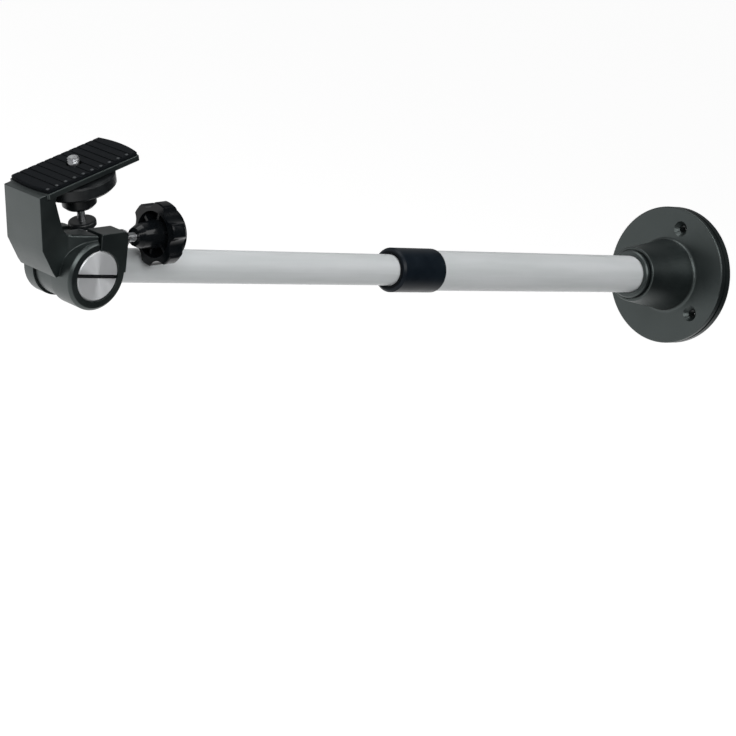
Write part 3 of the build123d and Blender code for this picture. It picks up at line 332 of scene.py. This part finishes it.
satin = start_finish("satin_plastic", (0.008, 0.009, 0.010), 0.38)
finish_shader(satin).inputs["Specular IOR Level"].default_value = 0.35
satin_noise = noise_on(satin, 5.0, 3.0)
mix_colours(satin, satin_noise, ((0.006, 0.007, 0.008), (0.010, 0.012, 0.013)))
vary_roughness(satin, satin_noise, 0.32, 0.45)
raise_bumps(satin, noise_on(satin, 0.5, 1.0).outputs["Fac"], 0.02, 0.5)

# %% [markdown]
# ## Rubber, nylon and brass
# The camera's pad and the wiper are matte black rubber. The pips get a greyer
# rubber, a painted highlight. Nylon and brass sit inside, and show only when the
# arm is drawn out or the wheel turned away.

# %% Rubber
rubber = start_finish("pad_rubber", (0.005, 0.006, 0.008), 0.8)
finish_shader(rubber).inputs["Specular IOR Level"].default_value = 0.12
rubber_noise = noise_on(rubber, 2.2, 4.0)
mix_colours(rubber, rubber_noise, ((0.002, 0.003, 0.0045), (0.0035, 0.005, 0.0065)))
vary_roughness(rubber, rubber_noise, 0.7, 0.85)
raise_bumps(rubber, noise_on(rubber, 0.5, 2.0).outputs["Fac"], 0.04, 0.6)

# Painted highlight: a lighter rubber for the pips stands in for light on them.
pip_highlight_rubber = start_finish("pip_highlight_rubber", (0.025, 0.03, 0.035), 0.5)
pip_highlight_noise = noise_on(pip_highlight_rubber, 0.8, 3.0)
mix_colours(pip_highlight_rubber, pip_highlight_noise, ((0.014, 0.017, 0.02), (0.035, 0.04, 0.045)))
vary_roughness(pip_highlight_rubber, pip_highlight_noise, 0.45, 0.6)

# %% Nylon and brass
nylon = start_finish("nylon", (0.72, 0.71, 0.66), 0.45)
nylon_noise = noise_on(nylon, 4.0, 3.0)
mix_colours(nylon, nylon_noise, ((0.68, 0.66, 0.60), (0.76, 0.75, 0.70)))
raise_bumps(nylon, noise_on(nylon, 0.6, 1.0).outputs["Fac"], 0.02, 0.5)

brass = start_finish("brass", (0.72, 0.52, 0.22), 0.28, 1.0)
brass_noise = noise_on(brass, 2.0, 3.0)
mix_colours(brass, brass_noise, ((0.64, 0.45, 0.18), (0.78, 0.58, 0.27)))
vary_roughness(brass, brass_noise, 0.22, 0.36)
raise_bumps(brass, noise_on(brass, 0.3, 1.0).outputs["Fac"], 0.01, 0.5)

# %% [markdown]
# ## Dress the solids
# A solid whose shape is right stays as it is and only takes a finish. The copies
# made further down take theirs along.

# %% One finish for each solid
finishes = {
    "wall_flange": coat, "hub_ring": coat, "hub_grub_screws": zinc,
    "outer_tube": paint, "inner_tube": paint, "collet": nylon, "guide_bush": nylon,
    "lock_collar": collar_black, "wiper_ring": rubber, "bush_pin": zinc,
    "knuckle": coat, "knuckle_pin": zinc, "knuckle_washers": zinc,
    "pivot_shaft": turned, "shaft_key_screw": zinc, "shaft_washer": zinc,
    "shaft_screw": zinc, "head_bracket": coat, "camera_pad": rubber,
    "clamp_washer": zinc, "clamp_stud": zinc, "clamp_knob": gloss, "knob_cap": gloss,
    "camera_screw": zinc, "screw_knob": satin, "lock_wheel": satin,
    "wheel_insert": brass, "wheel_washer": zinc,
}
for name, node in nodes.items():
    node.data.materials.clear()
    node.data.materials.append(finishes[name])
print("dressed:", len(finishes), "of", len(nodes))

# %% [markdown]
# ## Threads on the camera screw and the clamp's stud
# The solids carry their threads as plain cylinders at the outer size. On the
# real part a ridge winds round a thinner core. It could be painted on as a bump,
# but its edge would stay straight, so it is modelled. A diamond profile is wound
# up with the Screw modifier. A Boolean cuts it to the solid's own outline, so
# that it runs out at the tip as a cut thread does. Then it is joined to a copy of
# the solid whose threaded length is drawn in to the core.

# %% Helpers for copies of solids
SOLID_JOIN = 0.002 * MM
EDGE_ANGLE = math.radians(30.0)
FACE_WEIGHT = 80


def only(piece):
    """Deselect everything, then select one piece and make it active."""
    bpy.ops.object.select_all(action="DESELECT")
    piece.select_set(True)
    bpy.context.view_layer.objects.active = piece


def copy_solid(node_name, piece_name, placed=Matrix.Identity(4)):
    """Copy of a CAD solid with its loose triangles joined, moved into a working frame."""
    mesh = nodes[node_name].data.copy()
    mesh.name = piece_name
    mesh.transform(placed)
    piece = bpy.data.objects.new(piece_name, mesh)
    bpy.context.scene.collection.objects.link(piece)
    only(piece)
    bpy.ops.object.mode_set(mode="EDIT")
    bpy.ops.mesh.select_all(action="SELECT")
    bpy.ops.mesh.remove_doubles(threshold=SOLID_JOIN)
    bpy.ops.mesh.select_all(action="DESELECT")
    bpy.ops.object.mode_set(mode="OBJECT")
    return piece


def hand_over(piece, node_name, body):
    """The piece stands for a CAD solid and rides on its body."""
    only(piece)
    bpy.ops.object.shade_smooth_by_angle(angle=EDGE_ANGLE)
    flat = piece.modifiers.new("flat faces", "WEIGHTED_NORMAL")
    flat.weight = FACE_WEIGHT
    flat.keep_sharp = True
    bpy.ops.object.modifier_apply(modifier="flat faces")
    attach(piece, body)
    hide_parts(node_name)
    print(piece.name, "faces:", len(piece.data.polygons))


# %% Winding a thread
TURN_STEPS = 48
RIDGE_SHARE = 0.46


def winding_turns(start, end, pitch):
    """Whole turns that cover the length from start to end."""
    return math.ceil((end - start) / pitch)


def wind_ridge(name, root, crest, pitch, start, end):
    """Ridge of a thread round the world's Z, from start to end, closed at both ends."""
    bpy.ops.object.select_all(action="DESELECT")
    bpy.ops.mesh.primitive_circle_add(
        vertices=4, radius=crest - root, location=(root, 0.0, start),
        rotation=(math.pi / 2, 0.0, 0.0),
    )
    ridge = bpy.context.object
    ridge.name = name
    bpy.ops.object.transform_apply(location=True, rotation=True, scale=True)
    slope = RIDGE_SHARE * pitch / (crest - root)
    bpy.ops.object.mode_set(mode="EDIT")
    bpy.ops.mesh.select_all(action="SELECT")
    bpy.ops.transform.resize(value=(1.0, 1.0, slope), center_override=(root, 0.0, start))
    bpy.ops.object.mode_set(mode="OBJECT")
    winding = ridge.modifiers.new("winding", "SCREW")
    winding.axis = "Z"
    winding.screw_offset = pitch
    winding.iterations = winding_turns(start, end, pitch)
    winding.steps = TURN_STEPS
    winding.render_steps = TURN_STEPS
    bpy.ops.object.modifier_apply(modifier="winding")
    bpy.ops.object.mode_set(mode="EDIT")
    bpy.ops.mesh.select_all(action="SELECT")
    bpy.ops.mesh.remove_doubles(threshold=SOLID_JOIN)
    bpy.ops.mesh.select_all(action="SELECT")
    bpy.ops.mesh.fill_holes(sides=8)
    bpy.ops.mesh.normals_make_consistent(inside=False)
    bpy.ops.object.mode_set(mode="OBJECT")
    print(name, "turns:", winding_turns(start, end, pitch))
    return ridge


# %% Thread on a copy of a solid
OUTER_SPARE = 0.05 * MM


def thread_solid(node_name, line, outer, root, pitch, start, end):
    """Copy of a solid with a wound thread between two heights on its line."""
    envelope = copy_solid(node_name, node_name + "_outline", line.inverted())
    core = copy_solid(node_name, node_name + "_threaded", line.inverted())
    for vertex in core.data.vertices:
        radius = math.hypot(vertex.co.x, vertex.co.y)
        vertex.select = abs(radius - outer) < OUTER_SPARE and start < vertex.co.z < end
    bpy.context.tool_settings.mesh_select_mode = (True, False, False)
    only(core)
    bpy.ops.object.mode_set(mode="EDIT")
    bpy.ops.transform.resize(
        value=(root / outer, root / outer, 1.0), center_override=(0.0, 0.0, 0.0)
    )
    bpy.ops.object.mode_set(mode="OBJECT")
    ridge = wind_ridge(node_name + "_ridge", root, outer, pitch, start, end)
    only(ridge)
    trim = ridge.modifiers.new("trim", "BOOLEAN")
    trim.operation = "INTERSECT"
    trim.solver = "EXACT"
    trim.object = envelope
    bpy.ops.object.modifier_apply(modifier="trim")
    ridge.data.materials.clear()
    ridge.data.materials.append(core.data.materials[0])
    bpy.data.objects.remove(envelope)
    bpy.ops.object.select_all(action="DESELECT")
    ridge.select_set(True)
    core.select_set(True)
    bpy.context.view_layer.objects.active = core
    bpy.ops.object.join()
    core.data.transform(line)
    return core


# %% Camera screw and clamp stud
SCREW_OUTER, SCREW_ROOT, SCREW_PITCH = 3.175 * MM, 2.62 * MM, 1.27 * MM
STUD_OUTER, STUD_ROOT, STUD_PITCH = 2.5 * MM, 2.08 * MM, 0.8 * MM
SCREW_REACH = 5.0 * MM
pad_top = max(along(screw_line, vertex.co) for vertex in nodes["camera_pad"].data.vertices)
screw_piece = thread_solid(
    "camera_screw", screw_line, SCREW_OUTER, SCREW_ROOT, SCREW_PITCH,
    pad_top, pad_top + SCREW_REACH,
)
hand_over(screw_piece, "camera_screw", "screw")

STUD_BARE_FROM, STUD_BARE_TO = 21.5 * MM, 60.0 * MM
stud_piece = thread_solid(
    "clamp_stud", clamp_line, STUD_OUTER, STUD_ROOT, STUD_PITCH, STUD_BARE_FROM, STUD_BARE_TO
)
hand_over(stud_piece, "clamp_stud", "clamp")

# %% [markdown]
# ## Softened edges on the head and the pad
# No edge of a casting or of moulded rubber is truly sharp, and the thin line of
# light along it is what the eye reads as real. Rounding each edge by hand would
# take a day, so the Bevel modifier rounds every edge of the joined copy that
# turns by more than a set angle.

# %% Rounded copies
EDGE_TURN = math.radians(35.0)
EDGE_SEGMENTS = 2


def soften(node_name, piece_name, width, body):
    """Copy of a solid with its sharp edges rounded."""
    piece = copy_solid(node_name, piece_name)
    rounding = piece.modifiers.new("rounding", "BEVEL")
    rounding.width = width
    rounding.segments = EDGE_SEGMENTS
    rounding.limit_method = "ANGLE"
    rounding.angle_limit = EDGE_TURN
    rounding.use_clamp_overlap = False
    bpy.ops.object.modifier_apply(modifier="rounding")
    hand_over(piece, node_name, body)
    return piece


soften("head_bracket", "head_casting", 0.35 * MM, "head")
soften("camera_pad", "ribbed_pad", 0.18 * MM, "head")

# %% [markdown]
# ## Pips along the pad's edge
# A row of small raised pips runs along the pad's near edge. They grip the
# camera's base, and their rubber is painted lighter than the rest, a painted
# highlight. One pip is a flattened sphere, sunk to its widest ring, and the rest
# are copies. Their spacing is the pad's length shared among its ribs, which is a
# little more than the ribs' own, so each pip stands on a rib but not always in
# its middle.

# %% Row of pips
PIP_COUNT, PIP_RADIUS, PIP_PROUD = 10, 1.0 * MM, 0.35 * MM
RIBS, PAD_SETBACK, PIP_INSET = 11, 0.7 * MM, 1.2 * MM
to_screw = screw_line.inverted()
pad_points = [to_screw @ vertex.co for vertex in nodes["camera_pad"].data.vertices]
pad_back = min(point.x for point in pad_points) - PAD_SETBACK
pad_front = max(point.x for point in pad_points) + PAD_SETBACK
pad_near = min(point.y for point in pad_points)
pip_pitch = (pad_front - pad_back) / RIBS
bpy.ops.object.select_all(action="DESELECT")
bpy.ops.mesh.primitive_uv_sphere_add(
    segments=20, ring_count=10, radius=PIP_RADIUS,
    location=(pad_back + 0.5 * pip_pitch, pad_near + PIP_INSET, pad_top),
)
pips = bpy.context.object
pips.name = "pad_pips"
pips.scale = (1.0, 1.0, PIP_PROUD / PIP_RADIUS)
bpy.ops.object.transform_apply(location=True, rotation=True, scale=True)
row = [pips]
for number in range(1, PIP_COUNT):
    pip = pips.copy()
    pip.data = pips.data.copy()
    pip.data.transform(Matrix.Translation((number * pip_pitch, 0.0, 0.0)))
    bpy.context.scene.collection.objects.link(pip)
    row.append(pip)
bpy.ops.object.select_all(action="DESELECT")
for pip in row:
    pip.select_set(True)
bpy.context.view_layer.objects.active = pips
bpy.ops.object.join()

# %% Pips set down on the head
pips.data.transform(screw_line)
# Painted highlight: the pips take the lighter rubber.
pips.data.materials.append(pip_highlight_rubber)
only(pips)
bpy.ops.object.shade_smooth()
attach(pips, "head")
print("pips:", PIP_COUNT, "pitch in mm:", round(pip_pitch / MM, 2))

# %% [markdown]
# ## Lights, floor and backdrop
# The picture is taken in a white studio. A large soft lamp stands on the left,
# in front of the arm, a second one lights the thick tube from higher up, and a
# weak one is overhead. Behind and below, all is white, and black satin surfaces
# that face that way mirror it. The side of the camera is dark, so what faces it
# stays nearly black. Lamps alone can't do that, so the world and the floor are
# bright behind the part and dark in front of it.

# %% Lamps
def soft_light(name, place, target, width, power):
    """Square area light that looks at a point."""
    lamp = bpy.data.lights.new(name, "AREA")
    lamp.shape = "SQUARE"
    lamp.size = width
    lamp.energy = power
    holder = bpy.data.objects.new(name, lamp)
    bpy.context.scene.collection.objects.link(holder)
    holder.location = place
    direction = Vector(target) - Vector(place)
    holder.rotation_euler = direction.to_track_quat("-Z", "Y").to_euler()
    return holder


soft_light("key", (-1.5, -1.3, 0.9), (-0.3, 0.0, 0.0), 1.1, 21.0)
soft_light("fill", (0.0, -1.2, 1.1), (-0.15, 0.0, 0.0), 0.9, 11.0)
soft_light("top", (-0.6, 0.3, 1.5), (-0.3, 0.0, 0.0), 0.9, 9.0)
print("lamps:", len(bpy.data.lights))


# %% Bright behind, dark in front
def shade_away(tree, vector_socket, towards, dark_at, light_at, dark, light):
    """Brightness that rises from dark to light along a direction."""
    slant = tree.nodes.new("ShaderNodeVectorMath")
    slant.operation = "DOT_PRODUCT"
    slant.inputs[1].default_value = Vector(towards).normalized()
    tree.links.new(vector_socket, slant.inputs[0])
    level = tree.nodes.new("ShaderNodeMapRange")
    level.interpolation_type = "SMOOTHSTEP"
    level.inputs["From Min"].default_value = dark_at
    level.inputs["From Max"].default_value = light_at
    level.inputs["To Min"].default_value = dark
    level.inputs["To Max"].default_value = light
    tree.links.new(slant.outputs["Value"], level.inputs["Value"])
    return level.outputs["Result"]


# %% [markdown]
# ## Floor
# The floor is a plain pale plane well below the arm. A white paint alone would
# turn grey far away, so its material has three parts, told apart by Light Path:
# what the camera sees, what gloss mirrors, and what bounces light.

# %% Floor
FLOOR_Z = -0.45
FLOOR_SIZE = 30.0
FLOOR_GLOW = (0.85, 0.85, 0.85, 1.0)
bpy.ops.object.select_all(action="DESELECT")
bpy.ops.mesh.primitive_plane_add(size=FLOOR_SIZE, location=(0.0, 0.0, FLOOR_Z))
floor = bpy.context.object
floor.name = "floor"
pale = start_finish("pale_floor", (0.6, 0.6, 0.6), 0.9)
floor.data.materials.append(pale)
floor_tree = pale.node_tree
floor_paint = finish_shader(pale).outputs["BSDF"]
mirrored = floor_tree.nodes.new("ShaderNodeEmission")
floor_level = shade_away(
    floor_tree, floor_tree.nodes["Place"].outputs["Object"],
    (-0.35, 1.0, 0.0), -0.9, 0.3, 0.03, 1.3,
)
floor_tree.links.new(floor_level, mirrored.inputs["Strength"])
glow = floor_tree.nodes.new("ShaderNodeEmission")
glow.inputs["Color"].default_value = FLOOR_GLOW
lit_glow = floor_tree.nodes.new("ShaderNodeAddShader")
floor_tree.links.new(glow.outputs["Emission"], lit_glow.inputs[0])
floor_tree.links.new(floor_paint, lit_glow.inputs[1])

# %% What each kind of ray sees of the floor
paths = floor_tree.nodes.new("ShaderNodeLightPath")
in_gloss = floor_tree.nodes.new("ShaderNodeMixShader")
floor_tree.links.new(paths.outputs["Is Glossy Ray"], in_gloss.inputs["Fac"])
floor_tree.links.new(floor_paint, in_gloss.inputs[1])
floor_tree.links.new(mirrored.outputs["Emission"], in_gloss.inputs[2])
in_view = floor_tree.nodes.new("ShaderNodeMixShader")
floor_tree.links.new(paths.outputs["Is Camera Ray"], in_view.inputs["Fac"])
floor_tree.links.new(in_gloss.outputs["Shader"], in_view.inputs[1])
floor_tree.links.new(lit_glow.outputs["Shader"], in_view.inputs[2])
floor_output = floor_tree.nodes["Material Output"].inputs["Surface"]
floor_tree.links.new(in_view.outputs["Shader"], floor_output)
print("floor at z in m:", FLOOR_Z)

# %% [markdown]
# ## World
# The world is white to the camera, and everywhere else it is bright only behind
# the part, like a backdrop in a dark room.

# %% World
world = bpy.data.worlds.new("studio")
bpy.context.scene.world = world
world.use_nodes = True
sky = world.node_tree
background = sky.nodes["Background"]
background.inputs["Color"].default_value = (1.0, 1.0, 1.0, 1.0)
around = sky.nodes.new("ShaderNodeTexCoord")
sky_level = shade_away(
    sky, around.outputs["Generated"], (-0.45, 0.85, 0.1), -0.35, 0.55, 0.02, 0.36
)
seen = sky.nodes.new("ShaderNodeLightPath")
brighter = sky.nodes.new("ShaderNodeMath")
brighter.operation = "MAXIMUM"
sky.links.new(sky_level, brighter.inputs[0])
sky.links.new(seen.outputs["Is Camera Ray"], brighter.inputs[1])
sky.links.new(brighter.outputs["Value"], background.inputs["Strength"])

# %% [markdown]
# ## Camera
# The camera's place was solved from the picture: the tubes' edges, the flange,
# the pivot and the platform's corners fix where it stood and its long lens.

# %% Camera
CAMERA_PLACE = (-1.37755, -0.94152, 0.25619)
CAMERA_RIGHT = Vector((0.67621, -0.70609, 0.21019))
CAMERA_DOWN = Vector((-0.01844, -0.30144, -0.95331))
CAMERA_AHEAD = Vector((0.73648, 0.64076, -0.21686))
PICTURE_PX = 736
FOCAL_PX = 2400
camera_data = bpy.data.cameras.new("camera")
camera_data.sensor_width = 36.0
camera_data.lens = 36.0 * FOCAL_PX / PICTURE_PX
camera = bpy.data.objects.new("camera", camera_data)
bpy.context.scene.collection.objects.link(camera)
camera.matrix_world = Matrix.Translation(CAMERA_PLACE) @ Matrix(
    (CAMERA_RIGHT, -CAMERA_DOWN, -CAMERA_AHEAD)
).transposed().to_4x4()
bpy.context.scene.camera = camera
bpy.context.scene.view_settings.view_transform = "Standard"
